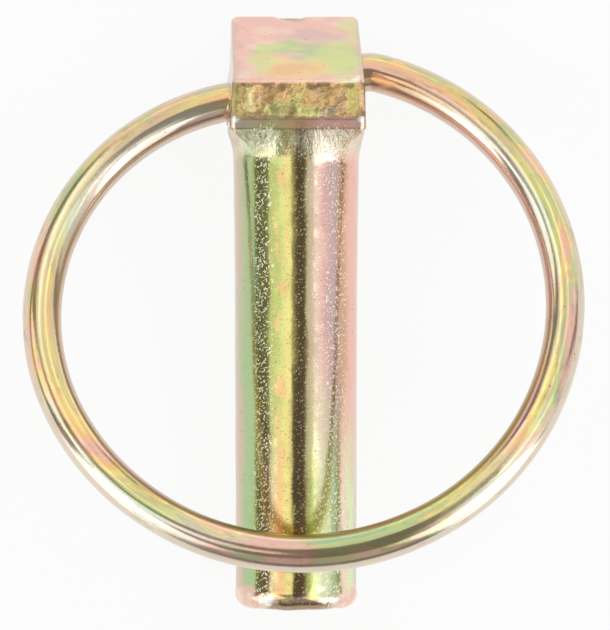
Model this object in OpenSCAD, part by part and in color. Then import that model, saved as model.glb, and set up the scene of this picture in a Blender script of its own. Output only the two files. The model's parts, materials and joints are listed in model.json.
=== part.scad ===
// Lynch pin: a forged pin with a square, sloping head, and a spring-wire
// ring that swings in a slanting hole through the head.
// It lies on its back. The pin's axis is Y, with the tip towards -Y and the
// head towards +Y. +Z is the front, where the ring crosses the shank.
// The origin is on the pin's axis, where the shank leaves the head.

/* [Shank] */
// Diameter of the shank
pin_d = 11; // [9:0.1:13]
// Length of the shank under the head
pin_len = 41.3; // [34:0.1:50]
// Rounding of the edge at the tip
tip_round = 1.4; // [0.8:0.1:2]

/* [Head] */
// How far the head stands out past the shank at each side
side_ledge = 0.65; // [0.4:0.05:1.2]
// How far the head stands out past the shank at the front and the back
front_ledge = 0.7; // [0.5:0.05:1.2]
// Height of the short front face
front_h = 3.35; // [2.6:0.05:4.2]
// Height of the tapered neck, from the shank to the front face
neck_h = 3.1; // [2.5:0.05:4]
// Height of the chamfer under the front face
front_chamfer = 1; // [0.6:0.1:1.6]
// Height of the taper under each side of the head
side_low = 1.5; // [1:0.1:2]
// Rise of the sloping top, from the front to the back
slope_rise = 5.3; // [4.3:0.1:6.4]
// How much narrower each side is at the top of the back
side_taper = 0.4; // [0:0.05:0.6]
// Rounding of the head's upright edges
head_round = 0.6; // [0.3:0.05:1]

/* [Ring] */
// Diameter of the spring wire
wire_d = 3.5; // [2.9:0.1:4.2]
// Bend radius of the ring's right side, along the wire's axis
ring_r = 22.8; // [19:0.1:27.5]
// Bend radius where the wire turns down beside the head
elbow_r = 2.6; // [2.2:0.1:3.6]
// Turn of that bend, in degrees
elbow_turn = 27; // [24:0.5:30]
// Turn of the left shoulder of the ring, in degrees
shoulder_turn = 108; // [98:1:118]
// Turn of the lower left of the ring, in degrees
corner_turn = 92; // [80:1:104]
// Straight length of the wire outside the head's left side
left_run = 0.4; // [0.3:0.05:1]
// Straight length of the wire outside the head's right side
right_run = 0.05; // [0.05:0.05:0.5]
// Gap between the wire's two ends, inside the head
end_gap = 1.6; // [0.8:0.1:3]
// How far the ring leans forward from the shank at rest, in degrees
lean = 20; // [15:1:60]

/* [Hole] */
// Height of the hole's middle above the lower edge of the front face
hole_y = 2.42; // [1.8:0.01:2.6]
// How far the hole lies behind the shank's axis
hole_back = 2.4; // [1.8:0.1:3]
// Slant of the hole, rising to the right, in degrees
hole_slant = 12; // [6:0.5:14]
// Running clearance around the wire
run_clear = 0.08; // [0.02:0.01:0.1]
// Chamfer around the mouths of the hole
mouth_chamfer = 0.35; // [0.2:0.05:0.6]

/* [Hidden] */
$fn = 96;

pin_r = pin_d / 2;
wire_r = wire_d / 2;
joint_swell = 0.01;
hole_r = wire_r + run_clear;
half_w = pin_r + side_ledge;
half_d = pin_r + front_ledge;
neck_r = pin_r + 0.05;
corner_slope = 1.45;

// Heights along the pin's axis
front_low = neck_h;
front_top = front_low + front_h;
head_top = front_top + slope_rise;

// The hole's middle, and how far the wire runs straight on each side of it
hinge = [0, front_low + hole_y, -hole_back];
left_straight = half_w / cos(hole_slant) + left_run;
right_straight = half_w / cos(hole_slant) + right_run;
straight = left_straight + right_straight;

// Headings of the wire where one bend passes into the next, anticlockwise
// from the wire's left end
heading_1 = 180 + shoulder_turn;
heading_2 = heading_1 + corner_turn;
heading_3 = 540 - elbow_turn;

// The right side's radius is given. The radii of the shoulder and of the lower
// left close the ring: they solve the two sums of the bends' steps, along the
// hole and across it.
along_1 = sin(heading_1);
across_1 = -1 - cos(heading_1);
along_2 = sin(heading_2) - sin(heading_1);
across_2 = cos(heading_1) - cos(heading_2);
along_rest = straight - ring_r * (sin(heading_3) - sin(heading_2)) + elbow_r * sin(heading_3);
across_rest = -ring_r * (cos(heading_2) - cos(heading_3)) - elbow_r * (cos(heading_3) + 1);
closing = along_1 * across_2 - along_2 * across_1;
shoulder_r = (along_rest * across_2 - along_2 * across_rest) / closing;
corner_r = (along_1 * across_rest - along_rest * across_1) / closing;

// Where each bend starts, in the ring's own plane
function step(r, from, to) = r * [sin(to) - sin(from), cos(from) - cos(to)];
start_1 = [-left_straight, 0];
start_2 = start_1 + step(shoulder_r, 180, heading_1);
start_3 = start_2 + step(corner_r, heading_1, heading_2);
start_4 = start_3 + step(ring_r, heading_2, heading_3);

// The forged pin, with the ring's hole drilled through its head
module pin() {
    color([0.80, 0.72, 0.50])
        difference() {
            union() {
                shank();
                head();
            }
            place_ring(0) ring_hole();
        }
}

// Round shank with a rounded tip, turned about the pin's axis
module shank() {
    rotate([90, 0, 0])
        rotate_extrude() {
            translate([0, -front_low])
                square([pin_r, front_low + pin_len - tip_round]);
            translate([0, pin_len - 2 * tip_round])
                square([pin_r - tip_round, 2 * tip_round]);
            intersection() {
                translate([pin_r - tip_round, pin_len - tip_round])
                    circle(r = tip_round);
                square([pin_r, pin_len]);
            }
        }
}

// Square head: its side outline and its front outline, cut from one block
// with rounded upright edges. A cone takes the lower corners down to the shank.
module head() {
    intersection() {
        side_outline();
        front_outline();
        rounded_block();
        rotate([-90, 0, 0])
            cylinder(r1 = neck_r, r2 = neck_r + head_top * corner_slope, h = head_top);
    }
}

// Outline seen from the side, with the sloping top and the chamfered underside
module side_outline() {
    rotate([90, 0, 90])
        linear_extrude(height = 2 * half_w, center = true)
            polygon([
                [0, -neck_r],
                [0, neck_r],
                [front_low - front_chamfer, half_d - front_ledge / 2],
                [front_low, half_d],
                [front_top, half_d],
                [head_top, -half_d],
                [side_low, -half_d]
            ]);
}

// Outline seen from the front, narrower towards the top
module front_outline() {
    linear_extrude(height = 2 * half_d, center = true)
        polygon([
            [-half_w, side_low],
            [-half_w, front_low],
            [side_taper - half_w, head_top],
            [half_w - side_taper, head_top],
            [half_w, front_low],
            [half_w, side_low],
            [neck_r, 0],
            [-neck_r, 0]
        ]);
}

// Block around the head, with rounded upright edges
module rounded_block() {
    rotate([90, 0, 0])
        translate([0, 0, -head_top - 1])
            linear_extrude(height = head_top + 2) {
                square([2 * (half_w - head_round), 2 * half_d], center = true);
                square([2 * half_w, 2 * (half_d - head_round)], center = true);
                for (x = [-1, 1], z = [-1, 1])
                    translate([x * (half_w - head_round), z * (half_d - head_round)])
                        circle(r = head_round);
            }
}

// Hole along X with chamfered mouths, longer than the head is wide
module ring_hole() {
    reach = half_w * 2;
    rotate([0, 90, 0])
        cylinder(r = hole_r, h = 2 * reach, center = true);
    for (side = [-1, 1])
        mirror([side < 0 ? 1 : 0, 0, 0])
            translate([half_w / cos(hole_slant) - mouth_chamfer, 0, 0])
                rotate([0, 90, 0])
                    cylinder(r1 = hole_r, r2 = hole_r + 2 * mouth_chamfer, h = 2 * mouth_chamfer);
}

// Spring wire: two straight ends in the head, and four bends that touch
module ring() {
    color([0.82, 0.76, 0.52])
        place_ring(lean) {
            wire_end(-left_straight);
            wire_end(right_straight);
            joint([right_straight, 0]);
            bend(start_1, shoulder_r, 180, heading_1);
            bend(start_2, corner_r, heading_1, heading_2);
            bend(start_3, ring_r, heading_2, heading_3);
            bend(start_4, elbow_r, heading_3, 540);
        }
}

// Sets the ring's plane on the hole, swung forward by an angle
module place_ring(swing) {
    translate(hinge)
        rotate([0, 0, hole_slant])
            rotate([-swing, 0, 0])
                children();
}

// Straight end of the wire, from the gap inside the head out to a bend
module wire_end(to) {
    translate([to < 0 ? to : end_gap / 2, 0, 0])
        rotate([0, 90, 0])
            cylinder(r = wire_r, h = abs(to) - end_gap / 2);
}

// Ball where two stretches of the wire meet, a hair proud of both
module joint(at) {
    translate([at[0], at[1], 0])
        sphere(r = wire_r + joint_swell);
}

// One bend of the wire, anticlockwise from a start point and heading
module bend(start, r, from, to) {
    centre = start + r * [-sin(from), cos(from)];
    joint(start);
    translate([centre[0], centre[1], 0])
        rotate([0, 0, from - 90])
            rotate_extrude(angle = to - from)
                translate([r, 0])
                    circle(r = wire_r);
}

pin();
ring();
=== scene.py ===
import json
import math

import bmesh
import bpy
from bpy.props import FloatProperty, FloatVectorProperty, IntProperty, PointerProperty
from bpy.types import Operator, Panel, PropertyGroup
from mathutils import Matrix, Vector, noise


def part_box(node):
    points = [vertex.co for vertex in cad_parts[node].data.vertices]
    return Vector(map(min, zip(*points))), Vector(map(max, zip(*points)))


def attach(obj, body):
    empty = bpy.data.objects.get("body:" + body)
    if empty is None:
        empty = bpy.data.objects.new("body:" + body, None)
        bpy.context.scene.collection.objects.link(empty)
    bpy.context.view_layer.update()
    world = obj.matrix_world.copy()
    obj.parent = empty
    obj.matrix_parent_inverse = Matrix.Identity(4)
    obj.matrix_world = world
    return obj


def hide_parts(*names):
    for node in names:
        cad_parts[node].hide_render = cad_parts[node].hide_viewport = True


bl_info = {
    "name": "Lynch pin",
    "version": (1, 0, 0),
    "blender": (4, 5, 0),
    "location": "3D View > Sidebar > Lynch Pin",
    "description": "A forged, zinc-plated lynch pin with its spring-wire ring",
    "category": "Add Mesh",
}

# The pin lies on its back. Its axis is Y, with the head towards +Y, and its front face is up.
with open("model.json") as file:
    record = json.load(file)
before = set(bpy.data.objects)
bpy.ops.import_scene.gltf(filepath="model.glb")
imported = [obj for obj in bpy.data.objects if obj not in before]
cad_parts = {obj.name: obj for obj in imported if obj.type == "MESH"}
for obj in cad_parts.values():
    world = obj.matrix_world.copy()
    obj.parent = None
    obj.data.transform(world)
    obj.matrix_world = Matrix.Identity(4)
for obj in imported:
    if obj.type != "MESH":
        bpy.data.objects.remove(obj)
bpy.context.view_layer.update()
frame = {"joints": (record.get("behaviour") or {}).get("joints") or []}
PIN_LOW, PIN_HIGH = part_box("pin")
SWING = frame["joints"][0]
HINGE = Vector(SWING["pos_m"])
SLANT = math.atan2(-SWING["axis"][1], -SWING["axis"][0])
MM = 0.001


# ------------------------------------------------------------------ settings


def a_length(name, description, default):
    """A length, with its default in metres."""
    return FloatProperty(
        name=name, description=description, default=default, unit="LENGTH", subtype="DISTANCE"
    )


def an_angle(name, description, degrees):
    """An angle, with its default in degrees."""
    return FloatProperty(
        name=name,
        description=description,
        default=math.radians(degrees),
        unit="ROTATION",
        subtype="ANGLE",
    )


def a_colour(name, description, default):
    """A colour."""
    return FloatVectorProperty(
        name=name, description=description, default=default, size=3, subtype="COLOR"
    )


class PinSizes(PropertyGroup):
    """Sizes of the forged pin. The frame gives its head's width, depth and height."""

    shank_radius: a_length("Shank radius", "Radius of the round shank", 5.5 * MM)
    flare: a_length("Flare", "How much thicker the shank is just under the head", 0.2 * MM)
    flare_length: a_length("Flare length", "Length over which that thickness fades away", 13.0 * MM)
    tip_rounding: a_length("Tip rounding", "Radius of the rounded edge at the tip", 1.35 * MM)
    neck_height: a_length("Neck height", "Height of the neck, up to the front face", 3.1 * MM)
    face_height: a_length("Front face height", "Height of the short front face", 3.35 * MM)
    side_taper: a_length("Side taper", "How much narrower each side of the head is at its top", 0.4 * MM)
    upright_rounding: a_length("Upright edge rounding", "Radius of the head's upright edges", 0.62 * MM)
    rim_rounding: a_length("Rim rounding", "Radius of the edge around the sloping top", 0.42 * MM)
    hole_radius: a_length("Hole radius", "Radius of the hole that the ring turns in", 1.83 * MM)
    hole_chamfer: a_length("Hole chamfer", "Chamfer around each mouth of the hole", 0.35 * MM)
    tear_depth: a_length("Torn face depth", "How far the torn front face is sunk", 0.12 * MM)
    points_round: IntProperty(
        name="Points round", description="Mesh points round the pin", default=256, min=32
    )


class RingSizes(PropertyGroup):
    """Sizes of the spring-wire ring. The frame gives its hinge line."""

    wire_radius: a_length("Wire radius", "Radius of the spring wire", 1.75 * MM)
    side_radius: a_length("Side radius", "Bend radius of the ring's right side", 22.8 * MM)
    elbow_radius: a_length("Elbow radius", "Radius of the bend beside the head", 2.6 * MM)
    elbow_turn: an_angle("Elbow turn", "Turn of the bend beside the head", 27)
    shoulder_turn: an_angle("Shoulder turn", "Turn of the ring's left shoulder", 108)
    corner_turn: an_angle("Corner turn", "Turn of the ring's lower left", 92)
    left_run: a_length("Left run", "Straight length of the wire left of the head", 0.4 * MM)
    right_run: a_length("Right run", "Straight length of the wire right of the head", 0.05 * MM)
    lean: an_angle("Lean", "How far the ring leans forward from the shank at rest", 20)
    end_gap: a_length("End gap", "Gap between the wire's two ends, inside the head", 1.6 * MM)
    points_round: IntProperty(
        name="Points round", description="Mesh points round the wire", default=56, min=12
    )


class PlatingColours(PropertyGroup):
    """Colours of the yellow zinc plating's thin film."""

    tan: a_colour("Tan", "Pale tan of thin film and of rubbed edges", (0.66, 0.52, 0.39))
    straw: a_colour("Straw", "Muted yellow-tan film", (0.64, 0.56, 0.29))
    yellow: a_colour("Yellow", "Bright yellow film", (0.90, 0.76, 0.27))
    orange: a_colour("Orange", "Orange film", (0.92, 0.56, 0.26))
    copper: a_colour("Copper", "Brown-orange film", (0.66, 0.40, 0.24))
    blush: a_colour("Blush", "Pale pink film", (0.96, 0.70, 0.58))
    pink: a_colour("Pink", "Salmon pink film", (0.90, 0.53, 0.44))
    mauve: a_colour("Mauve", "Greyish mauve between pink and green", (0.64, 0.44, 0.45))
    mint: a_colour("Mint", "Pale green film", (0.78, 0.84, 0.50))
    green: a_colour("Green", "Grey-green film", (0.44, 0.58, 0.31))
    lime: a_colour("Lime", "Yellow-green film", (0.66, 0.72, 0.26))
    moss: a_colour("Moss", "Deeper yellow-green film", (0.46, 0.50, 0.15))
    # Olive and brown also paint dark reflections and shade: bands on the shank, the tip's dark middle,
    # the front face's top and bottom edges and the ring's inner edge
    olive: a_colour("Olive", "Dark olive of thick film", (0.36, 0.35, 0.13))
    brown: a_colour("Brown", "Dull brown of thick film in the low places", (0.30, 0.21, 0.10))
    # Pale is also painted as highlights on the ring's wire
    pale: a_colour("Pale", "Worn, nearly clear film on the high places", (0.92, 0.88, 0.78))
    # Painted highlight: a pale colour painted where glints fall, on the crinkles' crests, the neck, the
    # front face's lip and the front edge
    painted_highlight: a_colour("Spark", "Bright crests of the crinkles", (0.96, 0.93, 0.70))
    # Glint: painted highlights of near-white on the tip's corners and the front face's lower corners
    glint: a_colour("Glint", "Bare metal of the tip's and the face's corners", (1.0, 1.0, 0.98))


class StageSizes(PropertyGroup):
    """The studio floor, camera and lamps."""

    floor_radius: a_length("Floor radius", "Radius of the flat part of the floor", 4.0)
    floor_lift: a_length("Floor lift", "Height of the floor's turned-up edge", 0.35)
    floor_colour: a_colour("Floor colour", "Colour of the pale floor", (0.86, 0.86, 0.86))
    room_colour: a_colour("Room colour", "Colour of the dim room round the lamps", (0.25, 0.25, 0.25))
    view_height: a_length("View height", "Height of the camera's view at the pin", 56.808 * MM)
    camera_distance: a_length("Camera distance", "Distance of the camera from the pin", 1.8)
    camera_rise: an_angle("Camera rise", "How far the camera leans towards the head", 3)
    camera_side: an_angle("Camera side", "How far the camera leans to the left", 2)
    lamp_distance: a_length("Lamp distance", "Distance of the lamps from the pin", 0.6)


class LynchPinSettings(PropertyGroup):
    """Everything that shapes and colours the lynch pin."""

    pin: PointerProperty(type=PinSizes)
    ring: PointerProperty(type=RingSizes)
    plating: PointerProperty(type=PlatingColours)
    stage: PointerProperty(type=StageSizes)


# ------------------------------------------------------------- mesh helpers


def smooth_step(low, high, value):
    """0 at low, 1 at high, and a smooth change between them."""
    share = min(1.0, max(0.0, (value - low) / (high - low)))
    return share * share * (3.0 - 2.0 * share)


def mix(first, second, share):
    """A value that goes from first to second as share goes from 0 to 1."""
    return first + (second - first) * share


def even_steps(start, stop, count):
    """Count even steps after start, the last of them at stop."""
    return [mix(start, stop, step / count) for step in range(1, count + 1)]


def start_loop(bm, points):
    """A closed loop of edges through the points, each vertex numbered by its place in the loop."""
    place = bm.verts.layers.int.new("place")
    made = bmesh.ops.create_circle(bm, segments=len(points), radius=1.0)["verts"]
    for number, vert in enumerate(made):
        vert[place] = number
        vert.co = points[number]
    return bm.edges[:]


def extend_loop(bm, edges, points):
    """Extrudes a loop of edges and moves each new vertex to the point of its place."""
    place = bm.verts.layers.int["place"]
    made = bmesh.ops.extrude_edge_only(bm, edges=edges)["geom"]
    verts = {part for part in made if isinstance(part, bmesh.types.BMVert)}
    for vert in verts:
        vert.co = points[vert[place]]
    return [
        part
        for part in made
        if isinstance(part, bmesh.types.BMEdge) and set(part.verts) <= verts
    ]


def circle(x, radius, count):
    """Points round a circle that faces along X."""
    turns = [math.tau * number / count for number in range(count)]
    return [Vector((x, radius * math.cos(turn), radius * math.sin(turn))) for turn in turns]


def spin(bm, geometry, centre, angle, steps, merge=False):
    """Spins geometry about an upright axis through a centre, and returns the last edges."""
    last = bmesh.ops.spin(
        bm,
        geom=geometry,
        cent=centre,
        axis=(0.0, 0.0, 1.0),
        dvec=(0.0, 0.0, 0.0),
        angle=angle,
        space=Matrix.Identity(4),
        steps=steps,
        use_merge=merge,
        use_duplicate=False,
    )["geom_last"]
    return [part for part in last if isinstance(part, bmesh.types.BMEdge)]


def close_loop(bm, edges):
    """Draws a small loop together into one vertex."""
    verts = list({vert for edge in edges for vert in edge.verts})
    middle = sum((vert.co for vert in verts), Vector()) / len(verts)
    bmesh.ops.pointmerge(bm, verts=verts, merge_co=middle)


def finish_mesh(bm, name):
    """Turns a bmesh into a smooth-shaded object at the origin, with its faces outwards."""
    bmesh.ops.recalc_face_normals(bm, faces=bm.faces[:])
    for face in bm.faces:
        face.smooth = True
    mesh = bpy.data.meshes.new(name)
    bm.to_mesh(mesh)
    bm.free()
    piece = bpy.data.objects.new(name, mesh)
    bpy.context.scene.collection.objects.link(piece)
    return piece


def cut_away(piece, cutter):
    """Cuts a closed mesh out of a piece, and removes the cutter."""
    difference = piece.modifiers.new("hole", "BOOLEAN")
    difference.operation = "DIFFERENCE"
    difference.solver = "EXACT"
    difference.object = cutter
    bpy.context.view_layer.update()
    evaluated = piece.evaluated_get(bpy.context.evaluated_depsgraph_get())
    cut = bpy.data.meshes.new_from_object(evaluated)
    piece.modifiers.clear()
    whole = piece.data
    piece.data = cut
    cut.name = piece.name
    bpy.data.meshes.remove(whole)
    bpy.data.objects.remove(cutter)


# ---------------------------------------------------------------- the pin

# The frame's box of the pin. The skin's loops, counted from the tip to the middle of the top.
HEAD_HALF_W = PIN_HIGH.x
HEAD_HALF_D = PIN_HIGH.z
HEAD_TOP = PIN_HIGH.y
TIP = PIN_LOW.y
CORNER_CROWDING = 0.6
FIRST_LOOP = 0.01
FLAT_LOOPS = 16
TIP_LOOPS = 12
SHANK_STEP = 0.24 * MM
NECK_STEP = 0.11 * MM
HEAD_LOOPS = 34
RIM_LOOPS = 6
TOP_LOOPS = 26
HOLE_POINTS = 64

# The shank is a little slimmer towards the tip
SLIM = 0.05 * MM
SLIM_START = -23.0 * MM
SLIM_END = -32.0 * MM
FLARE_CURVE = 1.3

# The neck's hollow fillet ends lower at the head's sides and back than at its corners and front
NECK_START = -1.4 * MM
FILLET_START = -1.1 * MM
LEFT_FILLET_START = -0.5 * MM
RIGHT_SIDE = 0.2
FRONT_MIDDLE = 0.7
FILLET_CURVE = 1.7
UNDERSIDE_HEIGHT = 1.4 * MM
UNDERSIDE_FROM = 0.4
UNDERSIDE_TO = 0.7
CHAMFER_FOOT = 2.1 * MM
CHAMFER_FOOT_DEPTH = 5.86 * MM
CHAMFER_BLEND = 0.12 * MM
NECK_CORNER_SLOPE = 1.45
NECK_CORNER_FALL = 7.4 * MM
NECK_CORNER_BLEND = 0.08 * MM

# The head's sides lean in towards the top, the left one a little more near its upper edge
TAPER_MARGIN = 3.0 * MM
LEFT_LEAN = 0.13 * MM
LEFT_LEAN_START = 6.0 * MM
LEFT_LEAN_END = 7.4 * MM
LEAST_ROUNDING = 0.02 * MM
TOP_ALLOWANCE = 0.16 * MM
HEIGHT_PASSES = 3

# Unevenness of the forging, in millimetres: a height, waves per millimetre and a shift
FORGE_WAVES = (
    (0.030, 0.22, Vector((3.1, 7.7, 1.3))),
    (0.012, 0.75, Vector((9.4, 2.6, 5.8))),
)
SKIN_HEIGHT = 0.006
SKIN_TOP = 3.0
CORNER_LUMP = 0.07
CORNER_LUMP_RADIUS = 0.55
CORNER_LUMP_X = 5.6
CORNER_LUMP_INSET = 0.1

# The torn front face, in millimetres and degrees
TEAR_FRONT = 5.0
TEAR_BELOW = 0.3
TEAR_HALF_W = 5.5
TEAR_MIDDLE = -0.15
TEAR_SIDE_EDGE = 1.0
TEAR_EDGE = 0.5
TEAR_TOP_GAP = 0.1
TEAR_WANDER = 0.35
TEAR_END_WANDER = 0.3
RIDGE_HEIGHT = 0.10
RIDGE_SLANT = 38
STEEP_SLANT = 62
STEEP_FROM = 1.5
LIP_HEIGHT = 0.10
LIP_X = -4.4
LIP_HALF_W = 0.5

# The top's dent at the back edge and the tip's nub and uneven edge, in millimetres
TOP_WAVES = 0.05
DENT_DEPTH = 0.16
DENT_X = -0.35
DENT_Z = -6.4
DENT_HALF_W = 1.6
DENT_HALF_D = 1.5
TIP_REACH = 2.6
NUB_HEIGHT = 0.10
NUB_RADIUS = 1.2
TIP_WAVES = 0.14
TIP_WAVE_COUNT = 2.2


def pin_turns(count):
    """Directions round the pin's axis, closer together at the head's four corners."""
    turns = []
    for number in range(count):
        turn = math.tau * number / count
        turns.append(turn + CORNER_CROWDING / 4.0 * math.sin(4.0 * turn))
    return turns


def reach_square(turn, half_w, half_d, rounding):
    """Distance from the axis to a rounded square, in the direction of turn."""
    across = abs(math.cos(turn))
    up = abs(math.sin(turn))
    reach = min(half_w / max(across, 1e-9), half_d / max(up, 1e-9))
    corner_x = half_w - rounding
    corner_z = half_d - rounding
    if reach * across > corner_x and reach * up > corner_z:
        along = across * corner_x + up * corner_z
        spare = corner_x**2 + corner_z**2 - rounding**2
        reach = along + math.sqrt(max(0.0, along**2 - spare))
    return reach


def blend_max(first, second, width):
    """The larger of two values, with a fillet where they are within width of each other."""
    nearness = max(0.0, 1.0 - abs(first - second) / width)
    return max(first, second) + width * nearness**2 / 4.0


def blend_min(first, second, width):
    """The smaller of two values, with a rounding where they are within width of each other."""
    return -blend_max(-first, -second, width)


def shank_reach(sizes, y):
    """Radius of the shank, which is a little thicker under the head and slimmer at the tip."""
    rise = max(0.0, 1.0 + min(0.0, y) / sizes.flare_length)
    slim = SLIM * smooth_step(SLIM_START, SLIM_END, y)
    return sizes.shank_radius + sizes.flare * rise**FLARE_CURVE - slim


def head_half_w(sizes, y):
    """Half the head's width at a height, with the taper to its top."""
    low = sizes.neck_height - TAPER_MARGIN
    return HEAD_HALF_W - sizes.side_taper * smooth_step(low, HEAD_TOP + TAPER_MARGIN, y)


def head_front_d(sizes, y):
    """Depth of the head in front of the axis at a height, with the chamfer under the front face."""
    share = (y - CHAMFER_FOOT) / (sizes.neck_height - CHAMFER_FOOT)
    chamfer = mix(CHAMFER_FOOT_DEPTH, HEAD_HALF_D, max(0.0, share))
    return blend_min(chamfer, HEAD_HALF_D, CHAMFER_BLEND)


def neck_point(sizes, turn, y):
    """A point of the shank or the neck: a hollow fillet up to the head, with a facet at each corner."""
    reach = shank_reach(sizes, y)
    if y > FILLET_START:
        front = math.sin(turn) > 0.0
        depth = head_front_d(sizes, y) if front else HEAD_HALF_D
        square = reach_square(turn, head_half_w(sizes, y), depth, sizes.upright_rounding)
        off_corner = abs(math.atan2(abs(math.sin(turn)), abs(math.cos(turn))) - math.pi / 4.0)
        top = CHAMFER_FOOT
        if off_corner > UNDERSIDE_FROM and not (front and abs(math.sin(turn)) > FRONT_MIDDLE):
            lowered = smooth_step(UNDERSIDE_FROM, UNDERSIDE_TO, off_corner)
            top = mix(CHAMFER_FOOT, UNDERSIDE_HEIGHT, lowered)
        start = FILLET_START if math.cos(turn) > RIGHT_SIDE else LEFT_FILLET_START
        share = min(1.0, max(0.0, (y - start) / (top - start)))
        fillet = mix(reach, square, share**FILLET_CURVE)
        facet = sizes.shank_radius + NECK_CORNER_SLOPE * y - NECK_CORNER_FALL * off_corner
        reach = blend_max(fillet, min(square, facet), NECK_CORNER_BLEND)
    return Vector((reach * math.cos(turn), y, reach * math.sin(turn)))


def slope_height(sizes, z):
    """Height of the sloping top, which rises from the front to the back."""
    front_top = sizes.neck_height + sizes.face_height
    top = HEAD_TOP + TOP_ALLOWANCE
    return mix(front_top, top, (HEAD_HALF_D - z) / (2.0 * HEAD_HALF_D))


def head_point(sizes, turn, share, inset=0.0, drop=0.0):
    """A point on the head's sides, at a share of the way from the neck up to the sloping top."""
    y = sizes.neck_height
    for _ in range(HEIGHT_PASSES):
        half_w = head_half_w(sizes, y) - inset
        if math.cos(turn) < 0.0:
            half_w -= LEFT_LEAN * smooth_step(LEFT_LEAN_START, LEFT_LEAN_END, y)
        rounding = max(LEAST_ROUNDING, sizes.upright_rounding - inset)
        reach = reach_square(turn, half_w, HEAD_HALF_D - inset, rounding)
        z = reach * math.sin(turn)
        y = mix(sizes.neck_height, slope_height(sizes, z) - drop, share)
    return Vector((reach * math.cos(turn), y, z))


def loft_pin(bm, sizes):
    """Draws the pin as one skin, loop by loop, from the tip to the middle of the sloping top."""
    turns = pin_turns(sizes.points_round)
    flat_r = shank_reach(sizes, TIP) - sizes.tip_rounding

    def disc(radius, y):
        return [Vector((radius * math.cos(t), y, radius * math.sin(t))) for t in turns]

    edges = start_loop(bm, disc(FIRST_LOOP * flat_r, TIP))
    first = edges
    for share in even_steps(FIRST_LOOP, 1.0, FLAT_LOOPS):
        edges = extend_loop(bm, edges, disc(flat_r * share, TIP))
    for angle in even_steps(0.0, math.pi / 2.0, TIP_LOOPS):
        radius = flat_r + sizes.tip_rounding * math.sin(angle)
        y = TIP + sizes.tip_rounding * (1.0 - math.cos(angle))
        edges = extend_loop(bm, edges, disc(radius, y))
    shank_start = TIP + sizes.tip_rounding
    heights = even_steps(shank_start, NECK_START, round((NECK_START - shank_start) / SHANK_STEP))
    count = round((sizes.neck_height - NECK_START) / NECK_STEP)
    for y in heights + even_steps(NECK_START, sizes.neck_height, count):
        edges = extend_loop(bm, edges, [neck_point(sizes, turn, y) for turn in turns])
    for share in even_steps(0.0, 1.0 - sizes.rim_rounding / sizes.face_height, HEAD_LOOPS):
        edges = extend_loop(bm, edges, [head_point(sizes, turn, share) for turn in turns])
    for angle in even_steps(0.0, math.pi / 2.0, RIM_LOOPS):
        inset = sizes.rim_rounding * (1.0 - math.cos(angle))
        drop = sizes.rim_rounding * (1.0 - math.sin(angle))
        points = [head_point(sizes, turn, 1.0, inset, drop) for turn in turns]
        edges = extend_loop(bm, edges, points)
    for share in even_steps(1.0, FIRST_LOOP, TOP_LOOPS):
        shrunk = []
        for point in points:
            z = point.z * share
            shrunk.append(Vector((point.x * share, slope_height(sizes, z), z)))
        edges = extend_loop(bm, edges, shrunk)
    close_loop(bm, edges)
    close_loop(bm, first)


def forge_offset(sizes, point, normal):
    """How far the forging, tearing and handling push a point of the pin along its normal."""
    at = point / MM
    offset = 0.0
    for height, waves, shift in FORGE_WAVES:
        offset += height * noise.noise(at * waves + shift)
    if at.y < SKIN_TOP:
        offset += SKIN_HEIGHT * noise.noise(Vector((at.x * 1.1, at.y * 1.9, at.z * 1.1)))
    offset += tear_offset(sizes, at) * max(0.0, normal.z)
    offset += slope_offset(at, normal)
    lump_y = sizes.neck_height / MM + CORNER_LUMP_INSET
    lump_z = HEAD_HALF_D / MM - CORNER_LUMP_INSET
    for side in (-1.0, 1.0):
        corner = Vector((side * CORNER_LUMP_X, lump_y, lump_z))
        offset += CORNER_LUMP * smooth_step(CORNER_LUMP_RADIUS, 0.0, (at - corner).length)
    offset += tip_offset(at, normal)
    return offset * MM


def tear_offset(sizes, at):
    """The front face: a little sunk inside its rims and torn in slanting ridges, in millimetres."""
    low = sizes.neck_height / MM
    high = (sizes.neck_height + sizes.face_height) / MM
    if at.z < TEAR_FRONT or at.y < low - TEAR_BELOW:
        return 0.0
    wander = TEAR_WANDER * noise.noise(Vector((at.x * 0.5, at.y * 0.9, 4.2)))
    height = at.y + wander * TEAR_END_WANDER
    beside = abs(at.x - TEAR_MIDDLE) + wander
    inside = smooth_step(TEAR_HALF_W, TEAR_HALF_W - TEAR_SIDE_EDGE, beside)
    inside *= smooth_step(low, low + TEAR_EDGE, height)
    inside *= smooth_step(high - TEAR_TOP_GAP, high - TEAR_EDGE, height)
    slant = math.radians(RIDGE_SLANT if at.x < STEEP_FROM else STEEP_SLANT)
    along = at.x * math.cos(slant) + at.y * math.sin(slant)
    across = at.y * math.cos(slant) - at.x * math.sin(slant)
    ridges = noise.noise(Vector((along * 0.6, across * 1.4, 8.8)))
    ridges += 0.5 * noise.noise(Vector((along * 1.3, across * 2.9, 2.1)))
    lip = LIP_HEIGHT * smooth_step(LIP_HALF_W, 0.0, abs(at.x - LIP_X + wander))
    return inside * (RIDGE_HEIGHT * ridges - sizes.tear_depth / MM) + lip * inside**0.5


def slope_offset(at, normal):
    """The sloping top: nearly flat, with a thumbnail dent at the back edge, in millimetres."""
    if normal.y < 0.6 or at.y < 6.0:
        return 0.0
    offset = TOP_WAVES * noise.noise(Vector((at.x * 0.25, at.z * 0.2, 6.5)))
    dent_x = (at.x - DENT_X) / DENT_HALF_W
    dent_z = (at.z - DENT_Z) / DENT_HALF_D
    return offset - DENT_DEPTH * smooth_step(1.0, 0.45, dent_x**2 + dent_z**2)


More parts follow.
